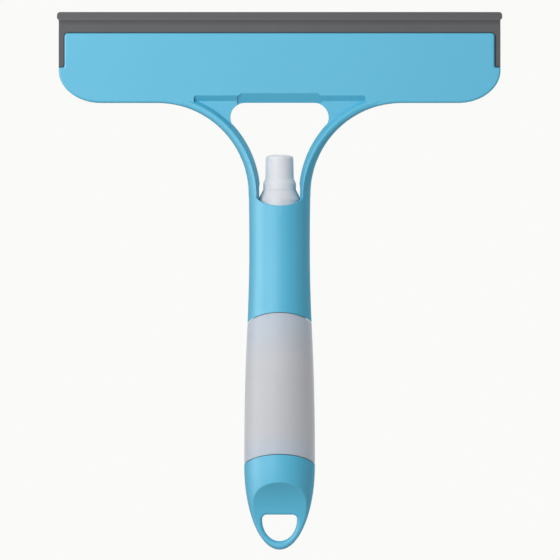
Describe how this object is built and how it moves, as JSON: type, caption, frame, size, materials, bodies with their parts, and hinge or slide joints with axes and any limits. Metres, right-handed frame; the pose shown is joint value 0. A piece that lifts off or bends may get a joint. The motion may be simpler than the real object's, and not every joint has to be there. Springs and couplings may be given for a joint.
{
  "type": "window cleaning squeegee with spray bottle handle",
  "caption": "T-shaped window squeegee with a rubber wiping edge on a blue head, and a handle that is a pull-out spray bottle with a capped mist pump and a hanging hole.",
  "frame": {"origin": "on the handle's axis at the slimmest part of the sleeve, where the hand grips", "axes": "+X to the right seen from the front, +Y to the back, +Z along the handle towards the wiping edge"},
  "size_m": [0.2128, 0.0338, 0.257],
  "materials": {
    "blue_plastic": "satin moulded polypropylene",
    "grey_rubber": "matt moulded rubber",
    "frosted_plastic": "frosted translucent polyethylene",
    "white_plastic": "smooth moulded plastic",
    "natural_plastic": "uncoloured polyethylene",
    "clear_plastic": "translucent polypropylene",
    "seal_rubber": "soft washer",
    "bright_steel": "stainless steel"
  },
  "bodies": {
    "frame": {"head_frame": "blue_plastic", "squeegee_blade": "grey_rubber"},
    "bottle": {"bottle": "frosted_plastic", "tail_cap": "blue_plastic"},
    "sprayer": {"pump_housing": "natural_plastic", "neck_gasket": "seal_rubber", "pump_turret": "white_plastic", "dip_tube": "natural_plastic", "pump_spring": "bright_steel"},
    "closure": {"closure_collar": "white_plastic"},
    "plunger": {"spray_actuator": "white_plastic", "nozzle_insert": "white_plastic", "pump_stem": "white_plastic", "pump_piston": "natural_plastic"},
    "overcap": {"dust_cap": "clear_plastic"},
    "ball": {"check_ball": "bright_steel"}
  },
  "joints": [
    {"name": "bottle_pull", "type": "slide", "parent": "frame", "child": "bottle", "axis": [0, 0, -1], "range_m": [0, 0.09]},
    {"name": "sprayer_lift", "type": "slide", "parent": "bottle", "child": "sprayer", "axis": [0, 0, 1], "range_m": [0, 0.0048]},
    {"name": "closure_turn", "type": "hinge", "parent": "sprayer", "child": "closure", "pos_m": [0, 0, 0.03], "axis": [0, 0, 1], "range_deg": [0, 540]},
    {"name": "actuator_press", "type": "slide", "parent": "sprayer", "child": "plunger", "axis": [0, 0, -1], "range_m": [0, 0.0044], "stiffness_N_per_m": 600, "springref_m": -0.004, "deforming": ["pump_spring"]},
    {"name": "overcap_pull", "type": "slide", "parent": "closure", "child": "overcap", "axis": [0, 0, 1], "range_m": [0, 0.017]},
    {"name": "ball_lift", "type": "slide", "parent": "sprayer", "child": "ball", "axis": [0, 0, 1], "range_m": [0, 0.0012]}
  ],
  "couplings": [
    {"joint": "closure_turn", "follows": "sprayer_lift", "rad_per_m": 1963.5}
  ]
}
